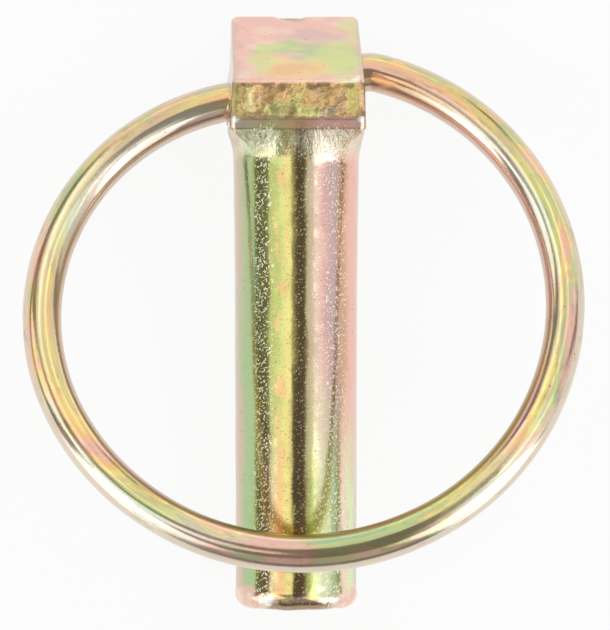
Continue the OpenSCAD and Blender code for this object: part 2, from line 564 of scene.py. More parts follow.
def tip_offset(at, normal):
    """The tip: flat, with a small nub in its middle and an uneven edge, in millimetres."""
    from_tip = at.y - TIP / MM
    if from_tip > TIP_REACH:
        return 0.0
    radius = math.hypot(at.x, at.z)
    offset = 0.0
    if normal.y < -0.8:
        offset = NUB_HEIGHT * smooth_step(NUB_RADIUS, 0.1, radius)
    edge = smooth_step(2.4, 1.2, from_tip) * smooth_step(3.4, 4.4, radius)
    turn = math.atan2(at.z, at.x)
    round_x = TIP_WAVE_COUNT * math.cos(turn)
    round_z = TIP_WAVE_COUNT * math.sin(turn)
    uneven = noise.noise(Vector((round_x, from_tip * 0.8, round_z)))
    return offset + TIP_WAVES * edge * uneven


def roughen_pin(bm, sizes):
    """Moves every vertex of the pin by its forge offset."""
    bm.normal_update()
    moves = [(vert, vert.normal * forge_offset(sizes, vert.co, vert.normal)) for vert in bm.verts]
    for vert, move in moves:
        vert.co += move


def hinge_matrix(swing):
    """From the ring's own plane to the frame, with the ring swung forward by an angle."""
    turn = Matrix.Rotation(SLANT, 4, "Z") @ Matrix.Rotation(-swing, 4, "X")
    return Matrix.Translation(HINGE) @ turn


def hole_cutter(sizes):
    """The closed shape that the ring's hole and its chamfered mouths are cut with."""
    mouth = HEAD_HALF_W / math.cos(SLANT)
    reach = 2.0 * HEAD_HALF_W
    wide = sizes.hole_radius + reach - mouth + sizes.hole_chamfer
    stations = (
        (sizes.hole_chamfer - mouth, sizes.hole_radius),
        (mouth - sizes.hole_chamfer, sizes.hole_radius),
        (reach, wide),
    )
    bm = bmesh.new()
    edges = start_loop(bm, circle(-reach, wide, HOLE_POINTS))
    bmesh.ops.edgeloop_fill(bm, edges=edges)
    for x, radius in stations:
        edges = extend_loop(bm, edges, circle(x, radius, HOLE_POINTS))
    bmesh.ops.edgeloop_fill(bm, edges=edges)
    bm.transform(hinge_matrix(0.0))
    return finish_mesh(bm, "hole_cutter")


def make_pin(settings):
    """The forged pin, with its shank, neck, square head, torn front face and hole."""
    sizes = settings.pin
    bm = bmesh.new()
    loft_pin(bm, sizes)
    bmesh.ops.recalc_face_normals(bm, faces=bm.faces[:])
    roughen_pin(bm, sizes)
    piece = finish_mesh(bm, "plated_pin")
    cut_away(piece, hole_cutter(sizes))
    piece.data.materials.clear()
    piece.data.materials.append(pin_plating(settings.plating))
    return piece


# --------------------------------------------------------------- the ring

WIRE_STEP = 0.33 * MM

# Unevenness of the wire, in millimetres: a height, waves across and along it, and a shift
WIRE_WAVES = (
    (0.020, 0.3, 0.16, 0.0),
    (0.008, 0.9, 0.45, 40.0),
)


def ring_bends(sizes):
    """The wire's two straight lengths and its bends, each a radius, a start point and two headings.

    The right side's radius is given. The shoulder's and the lower left's radii close the ring.
    """
    left = HEAD_HALF_W / math.cos(SLANT) + sizes.left_run
    right = HEAD_HALF_W / math.cos(SLANT) + sizes.right_run
    heading_1 = math.pi + sizes.shoulder_turn
    heading_2 = heading_1 + sizes.corner_turn
    heading_3 = 3.0 * math.pi - sizes.elbow_turn
    along_1 = math.sin(heading_1)
    across_1 = -1.0 - math.cos(heading_1)
    along_2 = math.sin(heading_2) - math.sin(heading_1)
    across_2 = math.cos(heading_1) - math.cos(heading_2)
    side_along = sizes.side_radius * (math.sin(heading_3) - math.sin(heading_2))
    side_across = sizes.side_radius * (math.cos(heading_2) - math.cos(heading_3))
    along_rest = left + right - side_along + sizes.elbow_radius * math.sin(heading_3)
    across_rest = -side_across - sizes.elbow_radius * (math.cos(heading_3) + 1.0)
    closing = along_1 * across_2 - along_2 * across_1
    shoulder_radius = (along_rest * across_2 - along_2 * across_rest) / closing
    corner_radius = (along_1 * across_rest - along_rest * across_1) / closing
    headings = [math.pi, heading_1, heading_2, heading_3, 3.0 * math.pi]
    radii = [shoulder_radius, corner_radius, sizes.side_radius, sizes.elbow_radius]
    start = Vector((-left, 0.0, 0.0))
    bends = []
    for radius, begin, end in zip(radii, headings, headings[1:]):
        bends.append((radius, start.copy(), begin, end))
        step_x = math.sin(end) - math.sin(begin)
        step_y = math.cos(begin) - math.cos(end)
        start += radius * Vector((step_x, step_y, 0.0))
    return left, right, bends


def sweep_wire(bm, sizes):
    """Sweeps the wire's round section along the ring. Returns each loop's distance along the wire."""
    left, right, bends = ring_bends(sizes)
    inner_end = sizes.end_gap / 2.0
    edges = start_loop(bm, circle(-inner_end, sizes.wire_radius, sizes.points_round))
    travel = [0.0]
    steps = math.ceil((left - inner_end) / WIRE_STEP)
    for x in even_steps(-inner_end, -left, steps):
        edges = extend_loop(bm, edges, circle(x, sizes.wire_radius, sizes.points_round))
        travel.append(-inner_end - x)
    for radius, start, begin, end in bends:
        length = radius * (end - begin)
        steps = math.ceil(length / WIRE_STEP)
        centre = start + radius * Vector((-math.sin(begin), math.cos(begin), 0.0))
        edges = spin(bm, edges, centre, end - begin, steps)
        travel += even_steps(travel[-1], travel[-1] + length, steps)
    steps = math.ceil((right - inner_end) / WIRE_STEP)
    place = bm.verts.layers.int["place"]
    ended = {vert[place]: vert.co.copy() for edge in edges for vert in edge.verts}
    for x in even_steps(right, inner_end, steps):
        ahead = [Vector((x, ended[n].y, ended[n].z)) for n in range(sizes.points_round)]
        edges = extend_loop(bm, edges, ahead)
        travel.append(travel[-1] + (right - inner_end) / steps)
    bmesh.ops.holes_fill(bm, edges=bm.edges[:], sides=0)
    return travel


def straightened(bm, sizes, travel):
    """Each vertex's place on the wire as if it were straight: two across its section, one along."""
    place = bm.verts.layers.int["place"]
    places = []
    for number, vert in enumerate(bm.verts):
        turn = math.tau * vert[place] / sizes.points_round
        across = sizes.wire_radius * math.cos(turn)
        up = sizes.wire_radius * math.sin(turn)
        places.append(Vector((across, up, travel[number // sizes.points_round])))
    return places


def wire_offset(at):
    """How far the wire's skin stands out at a place on the straight wire."""
    x, y, z = (value / MM for value in at)
    offset = 0.0
    for height, across, along, shift in WIRE_WAVES:
        offset += height * noise.noise(Vector((x * across, y * across, z * along + shift)))
    return offset


def make_ring(settings):
    """The spring-wire ring, with its two ends in the head."""
    sizes = settings.ring
    bm = bmesh.new()
    travel = sweep_wire(bm, sizes)
    places = straightened(bm, sizes, travel)
    bmesh.ops.recalc_face_normals(bm, faces=bm.faces[:])
    bm.normal_update()
    for vert, at in zip(bm.verts, places):
        vert.co += vert.normal * wire_offset(at) * MM
    bm.transform(hinge_matrix(sizes.lean))
    piece = finish_mesh(bm, "plated_ring")
    straight_wire = piece.data.attributes.new("straight_wire", "FLOAT_VECTOR", "POINT")
    straight_wire.data.foreach_set("vector", [value for at in places for value in at])
    piece.data.materials.append(ring_plating(settings.plating))
    return piece


# --------------------------------------------------------------- materials

# Places and sizes in materials are in millimetres. The shank's bands are spread over BAND_SPREAD.
# Each band is a colour with one or two shares of its ramp: where it peaks, or starts and ends.
BAND_SPREAD = 11.6
# The shank's bands are partly the film's own colours and partly painted reflections: the brown strip
# down the middle, the olive band on the left and the mauve and copper bands on the right are painted
# dark reflections, and the yellow band beside the brown strip is a painted highlight.
UPPER_BANDS = (
    ("tan", 0.00, 0.05),
    ("green", 0.09, 0.15),
    ("moss", 0.18),
    ("olive", 0.20, 0.26),
    ("moss", 0.28, 0.33),
    ("lime", 0.37),
    ("yellow", 0.42, 0.465),
    ("brown", 0.48, 0.55),
    ("straw", 0.575),
    ("tan", 0.62),
    ("blush", 0.66),
    ("pink", 0.70),
    ("mauve", 0.75, 0.80),
    ("copper", 0.83, 0.865),
    ("pink", 0.89, 0.95),
    ("tan", 1.00),
)
LOWER_BANDS = (
    ("tan", 0.00, 0.06),
    ("green", 0.10, 0.15),
    ("moss", 0.18),
    ("olive", 0.21),
    ("brown", 0.26),
    ("straw", 0.30),
    ("orange", 0.35),
    ("yellow", 0.42, 0.465),
    ("brown", 0.48, 0.55),
    ("moss", 0.58),
    ("lime", 0.62),
    ("mint", 0.67, 0.73),
    ("green", 0.79),
    ("olive", 0.83),
    ("blush", 0.86),
    ("mint", 0.91),
    ("mauve", 1.00),
)
COLLAR_BANDS = (
    ("tan", 0.08),
    ("straw", 0.3),
    ("copper", 0.48),
    ("pink", 0.75),
)
WIRE_BANDS = (
    ("mauve", 0.28),
    ("pink", 0.36),
    ("orange", 0.42),
    ("yellow", 0.47),
    ("straw", 0.52),
    ("lime", 0.57),
    ("green", 0.63),
    ("tan", 0.70),
    ("pink", 0.78),
)
# How strong the crinkles and the highlights painted on them are across the shank: a share of its width,
# and a strength
CRINKLE_COLUMNS = (
    (0.00, 0.0),
    (0.15, 0.1),
    (0.19, 1.0),
    (0.28, 0.9),
    (0.34, 0.2),
    (0.45, 0.0),
    (0.50, 0.25),
    (0.60, 0.2),
    (0.70, 0.4),
    (0.76, 1.0),
    (0.86, 0.9),
    (0.90, 0.2),
    (1.00, 0.0),
)
# Patches: a colour, its share, the patch's middle and radii, and a turn in degrees if it has one
SLOPE_PATCHES = (
    ("mauve", 0.55, (1.4, 8.6, -2.3), (2.9, 9.0, 1.1)),
    ("leaf", 0.9, (-1.3, 8.6, -0.2), (2.4, 9.0, 1.3), 10.0),
    ("leaf", 0.8, (3.0, 8.6, 1.6), (3.6, 9.0, 3.4), -10.0),
    ("lime", 0.7, (3.6, 8.6, 2.4), (2.4, 9.0, 3.4)),
    ("lime", 0.75, (-3.0, 8.6, 2.6), (1.5, 9.0, 2.4)),
    ("lime", 0.6, (5.0, 8.6, -2.8), (0.9, 9.0, 3.0)),
    ("yellow", 0.7, (-0.1, 8.6, 3.8), (3.3, 9.0, 2.0)),
    ("orange", 1.0, (-0.4, 8.6, 4.0), (3.1, 9.0, 1.6), 8.0),
    ("copper", 0.22, (-0.9, 8.6, 4.0), (1.9, 9.0, 1.1), 8.0),
    ("mauve", 0.5, (-6.0, 8.6, 0.0), (0.9, 9.0, 9.0)),
)
# Marks: a pale spot, partly wear and partly a painted highlight, at the right end of the front edge, and
# olive in the thumbnail dent at the back
SLOPE_MARKS = (
    ("painted_highlight", 0.8, (4.8, 6.5, 5.9), (1.4, 0.6, 0.55)),
    ("olive", 0.6, (-0.4, 11.4, -5.9), (1.7, 2.0, 0.42)),
)
# The front face's rims: olive at the left edge, and painted highlights along the bevels, a pale yellow
# line on the lip at the left and a yellow band at the right
FACE_RIMS = (
    ("olive", 0.6, (-5.5, 4.6, 6.2), (0.8, 3.0, 9.0)),
    ("painted_highlight", 1.0, (-4.45, 4.6, 6.2), (0.32, 3.0, 9.0)),
    ("yellow", 0.8, (-4.45, 4.6, 6.2), (0.32, 3.0, 9.0)),
    ("yellow", 0.9, (4.9, 4.9, 6.2), (0.6, 1.8, 9.0)),
)
WIRE_PATCHES = (
    ("blush", 0.6, (-8.0, -39.0, 14.0), (12.0, 7.0, 12.0)),
    ("pink", 0.8, (-1.5, -39.0, 14.0), (6.0, 7.0, 12.0)),
    ("green", 0.55, (6.0, -38.0, 13.0), (4.5, 6.0, 12.0)),
    ("lime", 0.6, (18.0, -32.0, 8.0), (9.0, 8.0, 12.0)),
    ("copper", 0.4, (26.0, -12.0, 2.0), (7.0, 14.0, 12.0)),
    ("straw", 0.6, (-18.0, 3.0, -2.0), (12.0, 10.0, 12.0)),
    ("orange", 0.5, (-25.0, -18.0, 4.0), (7.0, 12.0, 12.0)),
    ("orange", 0.55, (16.0, 3.0, -4.0), (12.0, 10.0, 12.0)),
)
# Where highlights are painted pale on the wire: a middle, radii, and from where to where across its
# section
WIRE_HIGHLIGHTS = (
    ((20.0, -33.0, 8.0), (11.0, 11.0, 14.0), 0.1, 0.5),
    ((-20.0, -33.0, 8.0), (11.0, 11.0, 14.0), 0.3, 0.7),
    ((-18.0, 3.0, -2.0), (13.0, 12.0, 14.0), -0.1, -0.5),
    ((19.0, -3.0, -2.0), (10.0, 11.0, 14.0), -0.1, -0.5),
)
EVEN = (1.0, 1.0, 1.0)
PIN_BUMP = 0.018 * MM
WIRE_BUMP = 0.006 * MM


def add(tree, kind, sockets=None, **settings):
    """A node with its settings, and with its sockets set to values or linked from other sockets."""
    made = tree.nodes.new(kind)
    for name, value in settings.items():
        setattr(made, name, value)
    for name, value in (sockets or {}).items():
        if isinstance(value, bpy.types.NodeSocket):
            tree.links.new(value, made.inputs[name])
        else:
            made.inputs[name].default_value = value
    return made


def maths(tree, operation, first, second=0.0, third=0.0):
    """The result of a Math node."""
    sockets = {0: first, 1: second, 2: third}
    return add(tree, "ShaderNodeMath", sockets, operation=operation).outputs[0]


def times(tree, first, second):
    """Two values multiplied."""
    return maths(tree, "MULTIPLY", first, second)


def scaled(tree, value, factor, rest):
    """A value times a factor, plus the rest."""
    return maths(tree, "MULTIPLY_ADD", value, factor, rest)


def pushed(tree, value, push, factor):
    """A value pushed up and down by noise, which has its middle at 0.5."""
    return scaled(tree, maths(tree, "SUBTRACT", push, 0.5), factor, value)


def remap(tree, value, low, high, to_low=0.0, to_high=1.0, style="SMOOTHSTEP"):
    """A value taken from one range to another, clamped."""
    sockets = {0: value, 1: low, 2: high, 3: to_low, 4: to_high}
    return add(tree, "ShaderNodeMapRange", sockets, interpolation_type=style).outputs[0]


def between(tree, value, start, full, fading, end):
    """1 between full and fading, 0 before start and after end, and smooth in between."""
    return times(tree, remap(tree, value, start, full), remap(tree, value, end, fading))


def axes(tree, place):
    """The three coordinates of a place."""
    return add(tree, "ShaderNodeSeparateXYZ", {0: place}).outputs


def in_millimetres(tree, place):
    """Coordinates in millimetres from coordinates in metres."""
    sockets = {"Vector": place, "Scale": (1.0 / MM, 1.0 / MM, 1.0 / MM)}
    return add(tree, "ShaderNodeMapping", sockets).outputs[0]


def turned(tree, place, degrees):
    """Coordinates turned in the front face's plane."""
    sockets = {"Vector": place, "Rotation": (0.0, 0.0, math.radians(degrees))}
    return add(tree, "ShaderNodeMapping", sockets).outputs[0]


def wander(tree, place, share, scale, shift):
    """Coordinates pushed about by noise, so that the edges of patches wander."""
    sockets = {"Vector": place, "Location": (shift, shift, shift)}
    moved = add(tree, "ShaderNodeMapping", sockets).outputs[0]
    sockets = {"Vector": moved, "Scale": scale, "Detail": 1.5}
    push = add(tree, "ShaderNodeTexNoise", sockets, normalize=False).outputs["Color"]
    sockets = {0: push, 1: (share, share, share), 2: place}
    return add(tree, "ShaderNodeVectorMath", sockets, operation="MULTIPLY_ADD").outputs[0]


def grain(tree, place, scale, stretch=EVEN, detail=2.0, shift=0.0, rough=0.5, warp=0.0):
    """Noise stretched along the axes, with scale in features per millimetre."""
    sockets = {"Vector": place, "Scale": stretch, "Location": (shift, shift * 0.7, shift * 1.3)}
    moved = add(tree, "ShaderNodeMapping", sockets, vector_type="POINT").outputs[0]
    sockets = {
        "Vector": moved,
        "Scale": scale,
        "Detail": detail,
        "Roughness": rough,
        "Distortion": warp,
    }
    return add(tree, "ShaderNodeTexNoise", sockets).outputs[0]


def ramp(tree, value, stops, style="EASE"):
    """A ramp through stops, each a position and a colour."""
    made = add(tree, "ShaderNodeValToRGB", {0: value})
    band = made.color_ramp
    band.interpolation = style
    while len(band.elements) < len(stops):
        band.elements.new(0.5)
    for element, (position, shade) in zip(band.elements, stops):
        element.position = position
        element.color = (*shade, 1.0)
    return made.outputs[0]


def film(tree, colours, value, bands, style="EASE"):
    """A ramp through bands of the film's colours."""
    stops = []
    for name, *positions in bands:
        stops += [(position, getattr(colours, name)) for position in positions]
    return ramp(tree, value, stops, style)


def blend(tree, share, first, second):
    """Two colours mixed by a share."""
    made = tree.nodes.new("ShaderNodeMix")
    made.data_type = "RGBA"
    for number, value in ((0, share), (6, first), (7, second)):
        if isinstance(value, bpy.types.NodeSocket):
            tree.links.new(value, made.inputs[number])
        elif number == 0:
            made.inputs[number].default_value = value
        else:
            made.inputs[number].default_value = (*value, 1.0)
    return made.outputs[2]


def patch(tree, place, middle, radii, turn=0.0):
    """1 in the middle of a soft-edged oval patch, 0 outside it."""
    sockets = {
        "Vector": place,
        "Location": middle,
        "Rotation": (0.0, math.radians(turn), 0.0),
        "Scale": radii,
    }
    inside = add(tree, "ShaderNodeMapping", sockets, vector_type="TEXTURE").outputs[0]
    far = add(tree, "ShaderNodeVectorMath", {0: inside}, operation="LENGTH").outputs["Value"]
    return remap(tree, far, 1.25, 0.55)


def tint(tree, colour, there, share, new):
    """A colour with a share of a new one where there is 1."""
    return blend(tree, times(tree, there, share), colour, new)


def tinted(tree, colours, place, colour, patches, **mixtures):
    """A colour with patches of the film's colours, or of mixtures given by name, over it."""
    for name, share, *oval in patches:
        new = mixtures[name] if name in mixtures else getattr(colours, name)
        colour = tint(tree, colour, patch(tree, place, *oval), share, new)
    return colour


def stained(tree, colours, colour, *stains):
    """A colour with stains, each a film colour, a value, where it starts and is full, and a share."""
    for name, value, start, full, share in stains:
        there = remap(tree, value, start, full, 0.0, share)
        colour = blend(tree, there, colour, getattr(colours, name))
    return colour


def pits(tree, place, scale, radius, share):
    """1 in small round pits, in a share of the cells of a Voronoi pattern."""
    sockets = {"Vector": place, "Scale": scale, "Randomness": 1.0}
    cells = add(tree, "ShaderNodeTexVoronoi", sockets, feature="F1")
    near = remap(tree, cells.outputs["Distance"], radius, radius * 0.4)
    chance = add(tree, "ShaderNodeSeparateColor", {0: cells.outputs["Color"]}).outputs[0]
    return times(tree, near, maths(tree, "LESS_THAN", chance, share))


def new_material(name):
    """A material and its empty tree."""
    material = bpy.data.materials.new(name)
    material.use_nodes = True
    material.node_tree.nodes.clear()
    return material, material.node_tree


def plate(tree, colour, gloss, relief, depth):
    """The metal's shader, with its colour, its gloss and the bump that its relief makes."""
    bump = add(tree, "ShaderNodeBump", {"Height": relief, "Distance": depth, "Strength": 1.0})
    sockets = {
        "Base Color": colour,
        "Metallic": 1.0,
        "Roughness": gloss,
        "Normal": bump.outputs[0],
    }
    shader = add(tree, "ShaderNodeBsdfPrincipled", sockets)
    add(tree, "ShaderNodeOutputMaterial", {"Surface": shader.outputs[0]})


def shank_film_and_reflections(tree, colours, place):
    """Lengthwise colour bands round the shank, partly the film's colours and partly painted reflections.
    Further down they are greener, with an orange band.
    """
    x, y, _ = axes(tree, place)
    drift = grain(tree, place, 0.10, (1.0, 0.45, 1.0), 3.0, shift=2.0)
    cloud = grain(tree, place, 0.5, (1.0, 0.35, 1.0), 4.0, shift=11.0, warp=0.6)
    ragged = grain(tree, place, 2.6, (0.5, 1.5, 1.0), 3.0, shift=81.0, rough=0.6)
    across = scaled(tree, x, 1.0 / BAND_SPREAD, 0.5)
    across = pushed(tree, across, drift, 0.05)
    across = pushed(tree, across, cloud, 0.10)
    across = pushed(tree, across, ragged, 0.05)
    upper = film(tree, colours, across, UPPER_BANDS, style="B_SPLINE")
    lower = film(tree, colours, across, LOWER_BANDS)
    further = remap(tree, pushed(tree, y, drift, 26.0), -18.0, -30.0)
    colour = blend(tree, further, upper, lower)
    fleck = grain(tree, place, 0.75, (1.0, 0.55, 1.0), 3.0, shift=71.0)
    gilded = between(tree, across, 0.31, 0.34, 0.39, 0.42)
    gilded = times(tree, gilded, remap(tree, fleck, 0.50, 0.60, 0.0, 0.8))
    return blend(tree, gilded, colour, colours.orange)


def slope_film(tree, colours, place):
    """The sloping top: pink, with green through its middle, lime at the right and an orange patch."""
    loose = wander(tree, place, 1.0, 0.45, 5.0)
    base = grain(tree, place, 0.30, (0.8, 1.0, 1.2), 1.5, shift=15.0)
    colour = blend(tree, remap(tree, base, 0.34, 0.54), colours.blush, colours.pink)
    colour = stained(tree, colours, colour, ("straw", base, 0.48, 0.32, 0.4))
    leaf = blend(tree, remap(tree, base, 0.36, 0.58), colours.lime, colours.green)
    colour = tinted(tree, colours, loose, colour, SLOPE_PATCHES, leaf=leaf)
    colour = blend(tree, 0.08, colour, colours.pale)
    colour = tinted(tree, colours, loose, colour, SLOPE_MARKS)
    x, _, z = axes(tree, place)
    side = remap(tree, maths(tree, "ABSOLUTE", x), 5.40, 5.72)
    rim = maths(tree, "MAXIMUM", side, remap(tree, z, -5.7, -6.05))
    return tint(tree, colour, rim, 0.65, colours.tan)


def neck_film(tree, colours, place, colour):
    """Adds the collar under the head, the tan corners and painted highlights on the neck, and returns
    the painted highlights' share.
    """
    x, y, _ = axes(tree, place)
    under = film(tree, colours, scaled(tree, x, 0.08, 0.5), COLLAR_BANDS)
    collar = between(tree, y, 1.9, 2.2, 3.05, 3.3)
    colour = tint(tree, colour, collar, 0.8, under)
    off_middle = maths(tree, "ABSOLUTE", maths(tree, "ADD", x, 0.3))
    off_middle = remap(tree, off_middle, 0.9, 1.9, 0.45)
    at_neck = times(tree, between(tree, y, -1.3, 0.9, 1.9, 2.3), off_middle)
    upset = grain(tree, place, 2.6, (1.2, 0.4, 1.2), 3.0, shift=41.0, rough=0.65)
    # Painted highlights: pale dashes on the neck where the upset bumps are high
    neck_highlight = times(tree, at_neck, remap(tree, upset, 0.42, 0.58, 0.4, 0.95))
    colour = blend(tree, neck_highlight, colour, colours.painted_highlight)
    at_corner = remap(tree, maths(tree, "ABSOLUTE", x), 4.9, 5.5)
    shoulder = times(tree, between(tree, y, -0.4, 0.8, 2.6, 3.2), at_corner)
    colour = tint(tree, colour, shoulder, 0.6, colours.tan)
    return colour, neck_highlight, times(tree, upset, at_neck)


def torn_film(tree, colours, place):
    """The torn front face: mottled tan and orange, with a lime streak low in its middle."""
    loose = wander(tree, place, 0.9, 0.8, 25.0)
    near = wander(tree, place, 0.3, 1.6, 65.0)
    slanting = turned(tree, near, -40)
    streak = grain(tree, slanting, 1.3, (0.35, 1.5, 1.0), 5.0, shift=7.0, rough=0.65)
    cloud = grain(tree, slanting, 0.45, (0.7, 1.2, 1.0), 3.0, shift=37.0)
    blot = grain(tree, slanting, 0.7, (0.6, 1.2, 1.0), 4.0, shift=77.0, rough=0.6)
    colour = blend(tree, remap(tree, cloud, 0.36, 0.52), colours.tan, colours.orange)
    colour = stained(tree, colours, colour, ("blush", cloud, 0.50, 0.40, 0.25))
    moss = patch(tree, loose, (-0.8, 3.8, 6.2), (3.2, 0.8, 9.0))
    colour = tint(tree, colour, moss, 0.85, colours.lime)
    middle = add(tree, "ShaderNodeMapping", {"Vector": loose, "Location": (0.6, -4.7, 0.0)})
    gold = patch(tree, turned(tree, middle.outputs[0], -45), (0.0, 0.0, 0.0), (1.9, 0.8, 9.0))
    colour = tint(tree, colour, gold, 0.85, colours.yellow)
    ember = patch(tree, loose, (3.8, 4.9, 6.2), (1.3, 1.2, 9.0))
    colour = tint(tree, colour, ember, 0.7, colours.orange)
    colour = stained(
        tree,
        colours,
        colour,
        ("brown", blot, 0.49, 0.60, 0.7),
        ("yellow", blot, 0.47, 0.36, 0.6),
        ("brown", streak, 0.50, 0.66, 0.7),
        ("yellow", streak, 0.48, 0.36, 0.5),
    )
    colour = tinted(tree, colours, near, colour, FACE_RIMS)
    y = axes(tree, loose)[1]
    # Painted shade: brown lines along the front face's top and bottom edges, under the lip of the slope
    # and at the step to the chamfer
    edge_shade = maths(tree, "MAXIMUM", remap(tree, y, 3.45, 3.15), remap(tree, y, 6.2, 6.4))
    return tint(tree, colour, edge_shade, 0.7, colours.brown), streak


def tip_film(tree, colours, place, colour):
    """Adds the tip's rubbed, pinkish edge with a painted dark reflection in its middle, and painted
    near-white glints at the tip's and the front face's corners; returns the painted glints' share.
    """
    x, y, _ = axes(tree, place)
    ragged = grain(tree, place, 0.9, EVEN, 4.0, shift=19.0)
    beside = maths(tree, "ABSOLUTE", maths(tree, "SUBTRACT", x, 0.2))
    reach = scaled(tree, remap(tree, beside, 2.2, 4.8), -0.9, y)
    rubbed = remap(tree, scaled(tree, ragged, 1.8, reach), -38.9, -39.8, 0.0, 0.85)
    rosy = blend(tree, remap(tree, ragged, 0.4, 0.6), colours.pink, colours.blush)
    colour = blend(tree, rubbed, colour, rosy)
    # Painted dark reflection: brown in the middle of the tip's edge
    dark_reflection = remap(tree, scaled(tree, ragged, 1.2, beside), 3.9, 3.2)
    colour = tint(tree, colour, times(tree, rubbed, dark_reflection), 0.95, colours.brown)
    loose = wander(tree, place, 0.4, 1.2, 95.0)
    # Painted glints: near-white patches at the tip's two corners and at the front face's lower corners
    left = patch(tree, loose, (-2.8, -40.5, 4.5), (0.8, 0.42, 2.0))
    right = patch(tree, loose, (2.8, -40.3, 4.5), (1.0, 0.35, 2.0))
    glint = maths(tree, "MAXIMUM", left, right)
    for side in (-1.0, 1.0):
        face_corner = patch(tree, place, (side * 5.65, 3.0, 6.0), (0.32, 0.32, 0.7))
        glint = maths(tree, "MAXIMUM", glint, face_corner)
    return blend(tree, glint, colour, colours.glint), glint


def crinkles(tree, place):
    """Short wrinkles that climb round the shank with specks between them, and their strength."""
    x, y, _ = axes(tree, place)
    sockets = {"Vector": place, "Axis": (0.0, 1.0, 0.0), "Angle": times(tree, y, -0.2)}
    twisted = add(tree, "ShaderNodeVectorRotate", sockets).outputs[0]
    wrinkle = grain(tree, twisted, 3.6, (1.0, 0.8, 1.0), 2.0, shift=31.0, rough=0.65, warp=0.2)
    speck = grain(tree, place, 5.2, (1.0, 0.9, 1.0), 1.0, shift=61.0, rough=0.5)
    stops = [(position, (strength,) * 3) for position, strength in CRINKLE_COLUMNS]
    columns = ramp(tree, scaled(tree, x, 1.0 / BAND_SPREAD, 0.5), stops)
    low = remap(tree, columns, 0.0, 1.0, 0.96, 0.86, style="LINEAR")
    high = maths(tree, "ADD", low, 0.09)
    return remap(tree, scaled(tree, wrinkle, 0.6, speck), low, high), columns


def pin_plating(colours):
    """Zinc plating on the forged pin: bands on the shank, patches on the slope, a torn front face."""
    material, tree = new_material("pin_plating")
    place = in_millimetres(tree, add(tree, "ShaderNodeTexCoord").outputs["Object"])
    _, y, z = axes(tree, place)
    shank = shank_film_and_reflections(tree, colours, place)
    slope = slope_film(tree, colours, place)
    colour = blend(tree, remap(tree, y, 2.6, 3.3), shank, slope)
    colour, neck_highlight, upset = neck_film(tree, colours, place, colour)
    torn, streak = torn_film(tree, colours, place)
    on_face = times(tree, remap(tree, z, 5.75, 5.95), between(tree, y, 3.05, 3.3, 6.2, 6.4))
    colour = blend(tree, on_face, colour, torn)
    colour, glint = tip_film(tree, colours, place, colour)

    # Dark pits, a light grime and painted highlights on the crests of the crinkles
    holes = pits(tree, place, 1.4, 0.13, 0.4)
    colour = tint(tree, colour, holes, 0.75, colours.brown)
    grime = grain(tree, place, 1.6, (1.0, 0.6, 1.0), 5.0, shift=17.0, rough=0.65)
    colour = stained(tree, colours, colour, ("brown", grime, 0.55, 0.8, 0.3))
    crinkle, columns = crinkles(tree, place)
    crinkle = times(tree, crinkle, remap(tree, y, 3.0, 2.0))
    # Painted highlights on the crests of the crinkles, brightest in the strong columns
    crinkle_highlight = times(tree, times(tree, crinkle, 0.85), remap(tree, columns, 0.0, 0.6, 0.1, 1.0))
    colour = blend(tree, crinkle_highlight, colour, colours.painted_highlight)

    # Duller on the torn face, on the painted highlights of the crinkles and the neck, and on the painted
    # glints at the corners
    dull = grain(tree, place, 0.7, (1.0, 0.5, 1.0), 4.0, shift=23.0)
    gloss = remap(tree, dull, 0.3, 0.7, 0.12, 0.2)
    for share, more in ((on_face, 0.16), (crinkle_highlight, 0.15), (neck_highlight, 0.25), (glint, 0.3)):
        gloss = scaled(tree, share, more, gloss)

    # Relief of the crinkles, the strained neck, the torn face, the pits and the plating's own grain
    relief = times(tree, crinkle, remap(tree, columns, 0.0, 0.6, 0.25, 1.3))
    torn_relief = times(tree, streak, on_face)
    fine = grain(tree, place, 5.0, EVEN, 3.0, shift=53.0)
    for part, height in ((upset, 6.0), (torn_relief, 9.0), (holes, -1.2), (fine, 0.1)):
        relief = scaled(tree, part, height, relief)
    plate(tree, colour, gloss, relief, PIN_BUMP)
    return material


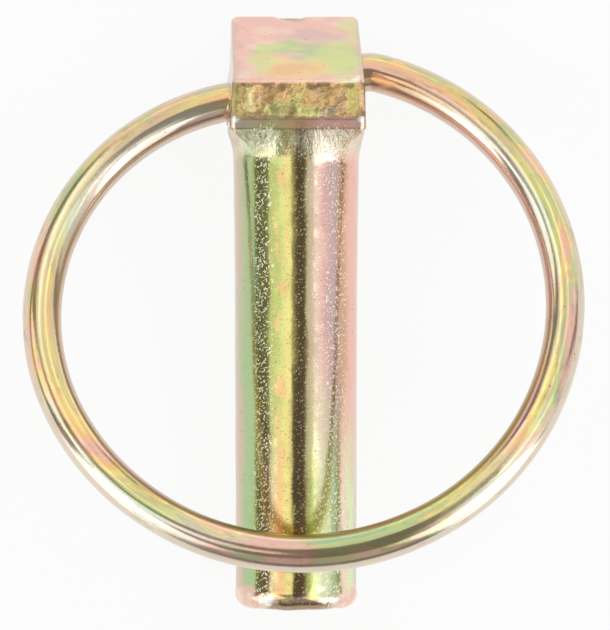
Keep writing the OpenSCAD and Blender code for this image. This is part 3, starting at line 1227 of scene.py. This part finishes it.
def ring_plating(colours):
    """Zinc plating on drawn spring wire: colour bands along the wire, which drift round it."""
    material, tree = new_material("ring_plating")
    sockets = {"attribute_name": "straight_wire", "attribute_type": "GEOMETRY"}
    wire = in_millimetres(tree, add(tree, "ShaderNodeAttribute", **sockets).outputs["Vector"])
    outward = axes(tree, wire)[0]
    cloud = grain(tree, wire, 0.42, (1.0, 1.0, 0.2), 3.0, shift=3.0, warp=0.5)
    lines = grain(tree, wire, 1.5, (1.0, 1.0, 0.04), 3.0, shift=9.0, rough=0.5)
    shade = scaled(tree, outward, 0.03, pushed(tree, cloud, lines, 0.08))
    colour = film(tree, colours, shade, WIRE_BANDS)

    # Patches at their places on the ring
    place = in_millimetres(tree, add(tree, "ShaderNodeTexCoord").outputs["Object"])
    loose = wander(tree, place, 3.5, 0.16, 15.0)
    colour = tinted(tree, colours, loose, colour, WIRE_PATCHES)
    foot = patch(tree, loose, (-2.0, -42.0, 14.0), (22.0, 9.0, 12.0))
    foot = times(tree, foot, remap(tree, outward, -0.2, 0.3, 0.0, 0.65))
    colour = blend(tree, foot, colour, colours.copper)
    mottle = grain(tree, wire, 0.6, (1.0, 1.0, 0.5), 2.0, shift=71.0)
    outer_half = remap(tree, outward, 0.2, 0.9)
    leafy = times(tree, outer_half, remap(tree, mottle, 0.52, 0.58, 0.0, 0.6))
    colour = blend(tree, leafy, colour, colours.green)
    rosy = times(tree, outer_half, remap(tree, mottle, 0.47, 0.41, 0.0, 0.6))
    colour = blend(tree, rosy, colour, colours.pink)
    for middle, radii, low, high in WIRE_HIGHLIGHTS:
        highlight_spot = times(tree, patch(tree, loose, middle, radii), remap(tree, outward, low, high))
        colour = tint(tree, colour, highlight_spot, 0.7, colours.pale)

    # Wear along the wire, painted shade on its inner edge, darkest on the lower side, and painted light
    # on its outer edge
    worn = grain(tree, wire, 0.6, (1.0, 1.0, 0.06), 3.0, shift=43.0)
    colour = stained(tree, colours, colour, ("pale", worn, 0.50, 0.68, 0.35))
    edge = scaled(tree, lines, 0.5, outward)
    low_side = patch(tree, loose, (14.0, -34.0, 8.0), (26.0, 18.0, 24.0))
    shaded = blend(tree, 0.5, colours.brown, colours.olive)
    inner_edge_shade = blend(tree, low_side, blend(tree, 0.4, colours.tan, colours.mauve), shaded)
    colour = blend(tree, remap(tree, edge, -0.5, -1.1, 0.0, 0.85), colour, inner_edge_shade)
    # Painted light: a paler outer edge of the wire
    outer_edge_light = blend(tree, 0.35, colours.tan, colours.pale)
    colour = blend(tree, remap(tree, edge, 1.35, 1.7, 0.0, 0.8), colour, outer_edge_light)
    scuffs = grain(tree, wire, 1.3, (1.0, 1.0, 0.3), 5.0, shift=21.0, rough=0.7)
    colour = stained(tree, colours, colour, ("brown", scuffs, 0.52, 0.78, 0.55))
    holes = pits(tree, wire, 0.8, 0.10, 0.12)
    colour = tint(tree, colour, holes, 0.7, colours.brown)

    dull = grain(tree, wire, 0.8, (1.0, 1.0, 0.25), 4.0, shift=27.0)
    gloss = remap(tree, dull, 0.3, 0.7, 0.13, 0.22)
    fine = grain(tree, wire, 4.0, (1.0, 1.0, 0.5), 3.0, shift=33.0)
    relief = scaled(tree, fine, 0.6, times(tree, lines, 0.5))
    relief = scaled(tree, holes, -1.5, relief)
    plate(tree, colour, gloss, relief, WIRE_BUMP)
    return material


# ------------------------------------------------------------------- stage

AIM = Vector((0.81, -14.92, 0.0)) * MM
FLOOR_GAP = 0.05 * MM
FLOOR_GLOW = 0.9
EDGE_STEPS = 8
ROUND_STEPS = 96
SENSOR_WIDTH = 36.0
NEAR_CLIP = 0.01
FAR_CLIP = 20.0

# A name, a tilt and a heading, half angles along and across the heading, and a radiance
LAMPS = (
    ("key_right", 60, -36, 30, 17, 1.4),
    ("key_right_core", 60, -26, 10, 6, 1.7),
    ("fill_right", 50, -3, 34, 14, 0.62),
    ("head_right", 58, 42, 36, 20, 0.75),
    ("head_end", 62, 95, 34, 26, 0.7),
    ("head_left", 44, 128, 20, 10, 0.65),
    ("key_left_upper", 62, 166, 15, 12, 1.0),
    ("key_left_lower", 64, 213, 27, 17, 1.02),
    ("key_left_core", 60, 206, 12, 8, 2.2),
    ("strip_left", 32, 184, 22, 8, 0.88),
    ("foot_end", 46, -90, 18, 24, 0.28),
)


def floor_paper(sizes):
    """Pale paper that shows white behind the pin and still keeps the pin's soft shadow."""
    material, tree = new_material("pale_paper")
    paper = add(tree, "ShaderNodeBsdfDiffuse", {"Color": (*sizes.floor_colour, 1.0)})
    glow = add(tree, "ShaderNodeEmission", {"Color": (1.0, 1.0, 1.0, 1.0), "Strength": 1.0})
    rays = add(tree, "ShaderNodeLightPath").outputs
    seen = maths(tree, "MAXIMUM", rays["Is Camera Ray"], rays["Is Glossy Ray"])
    seen = maths(tree, "MAXIMUM", seen, rays["Is Transmission Ray"])
    share = times(tree, seen, FLOOR_GLOW)
    mixed = add(tree, "ShaderNodeMixShader", {0: share, 1: paper.outputs[0], 2: glow.outputs[0]})
    add(tree, "ShaderNodeOutputMaterial", {"Surface": mixed.outputs[0]})
    return material


def make_floor(sizes):
    """A round sheet of paper under the pin, turned up all round at its edge."""
    bm = bmesh.new()
    floor_z = PIN_LOW.z - FLOOR_GAP
    first = bm.verts.new((0.0, 0.0, floor_z))
    last = bm.verts.new((sizes.floor_radius, 0.0, floor_z))
    profile = [bm.edges.new((first, last))]
    for angle in even_steps(0.0, math.pi / 2.0, EDGE_STEPS):
        x = sizes.floor_radius + sizes.floor_lift * math.sin(angle)
        z = floor_z + sizes.floor_lift * (1.0 - math.cos(angle))
        ahead = bm.verts.new((x, 0.0, z))
        profile.append(bm.edges.new((last, ahead)))
        last = ahead
    spin(bm, bm.verts[:] + profile, Vector(), math.tau, ROUND_STEPS, merge=True)
    bmesh.ops.remove_doubles(bm, verts=bm.verts[:], dist=1e-5)
    floor = finish_mesh(bm, "paper_floor")
    floor.data.materials.append(floor_paper(sizes))


def softbox(name, tilt, heading, tall, wide, radiance, distance):
    """A softbox that faces the pin.

    Tilt is from overhead, and heading is anticlockwise from the right. Tall and wide are half
    angles seen from the pin, along the heading and across it.
    """
    tilt = math.radians(tilt)
    heading = math.radians(heading)
    level = math.sin(tilt)
    out = Vector((level * math.cos(heading), level * math.sin(heading), math.cos(tilt)))
    data = bpy.data.lights.new(name, "AREA")
    data.shape = "RECTANGLE"
    data.size = 2.0 * distance * math.tan(math.radians(wide))
    data.size_y = 2.0 * distance * math.tan(math.radians(tall))
    data.energy = radiance * math.pi * data.size * data.size_y
    lamp = bpy.data.objects.new(name, data)
    lamp.location = AIM + out * distance
    side = Vector((-math.sin(heading), math.cos(heading), 0.0))
    rise = out.cross(side)
    lamp.rotation_euler = Matrix((side, rise, out)).transposed().to_euler()
    lamp.visible_camera = False
    bpy.context.scene.collection.objects.link(lamp)


def make_world(sizes):
    """Plain dim room light."""
    world = bpy.data.worlds.new("studio")
    bpy.context.scene.world = world
    world.use_nodes = True
    room = world.node_tree.nodes["Background"]
    room.inputs["Color"].default_value = (*sizes.room_colour, 1.0)
    room.inputs["Strength"].default_value = 1.0


def make_camera(sizes):
    """A long lens above the pin, leaning a little to the head and to the left."""
    side = -sizes.camera_side
    rise = sizes.camera_rise
    back = Vector((math.sin(side) * math.cos(rise), math.sin(rise), math.cos(side) * math.cos(rise)))
    right = Vector((0.0, 1.0, 0.0)).cross(back).normalized()
    up = back.cross(right)
    data = bpy.data.cameras.new("camera")
    data.sensor_width = SENSOR_WIDTH
    data.lens = SENSOR_WIDTH * sizes.camera_distance / sizes.view_height
    data.clip_start = NEAR_CLIP
    data.clip_end = FAR_CLIP
    camera = bpy.data.objects.new("camera", data)
    camera.location = AIM + back * sizes.camera_distance
    camera.rotation_euler = Matrix((right, up, back)).transposed().to_euler()
    bpy.context.scene.collection.objects.link(camera)
    bpy.context.scene.camera = camera


def make_stage(settings):
    """The floor, the room light, the softboxes and the camera."""
    sizes = settings.stage
    make_floor(sizes)
    make_world(sizes)
    for lamp in LAMPS:
        softbox(*lamp, sizes.lamp_distance)
    make_camera(sizes)
    bpy.context.scene.view_settings.view_transform = "Standard"


# --------------------------------------------------------- operators, panel


class LYNCH_OT_pin(Operator):
    """Build the plated pin around its CAD solid"""

    bl_idname = "lynch.pin"
    bl_label = "Pin"

    def execute(self, context):
        piece = make_pin(context.scene.lynch_pin)
        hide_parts("pin")
        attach(piece, "pin_body")
        return {"FINISHED"}


class LYNCH_OT_ring(Operator):
    """Build the plated spring-wire ring around its CAD solid"""

    bl_idname = "lynch.ring"
    bl_label = "Ring"

    def execute(self, context):
        piece = make_ring(context.scene.lynch_pin)
        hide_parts("ring")
        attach(piece, "ring_body")
        return {"FINISHED"}


class LYNCH_OT_stage(Operator):
    """Set up the floor, lamps and camera"""

    bl_idname = "lynch.stage"
    bl_label = "Stage"

    def execute(self, context):
        make_stage(context.scene.lynch_pin)
        return {"FINISHED"}


class LYNCH_PT_panel(Panel):
    """Lists what can be built"""

    bl_idname = "LYNCH_PT_panel"
    bl_label = "Lynch Pin"
    bl_space_type = "VIEW_3D"
    bl_region_type = "UI"
    bl_category = "Lynch Pin"

    def draw(self, context):
        for operator in OPERATORS:
            self.layout.operator(operator.bl_idname)


OPERATORS = (LYNCH_OT_pin, LYNCH_OT_ring, LYNCH_OT_stage)
CLASSES = (
    PinSizes,
    RingSizes,
    PlatingColours,
    StageSizes,
    LynchPinSettings,
    *OPERATORS,
    LYNCH_PT_panel,
)


def register():
    """Adds the settings, operators and panel."""
    for part in CLASSES:
        bpy.utils.register_class(part)
    bpy.types.Scene.lynch_pin = PointerProperty(type=LynchPinSettings)


def unregister():
    """Removes the settings, operators and panel."""
    del bpy.types.Scene.lynch_pin
    for part in reversed(CLASSES):
        bpy.utils.unregister_class(part)


def main():
    """Builds every piece and the stage."""
    register()
    bpy.ops.lynch.pin()
    bpy.ops.lynch.ring()
    bpy.ops.lynch.stage()


if __name__ == "__main__":
    main()
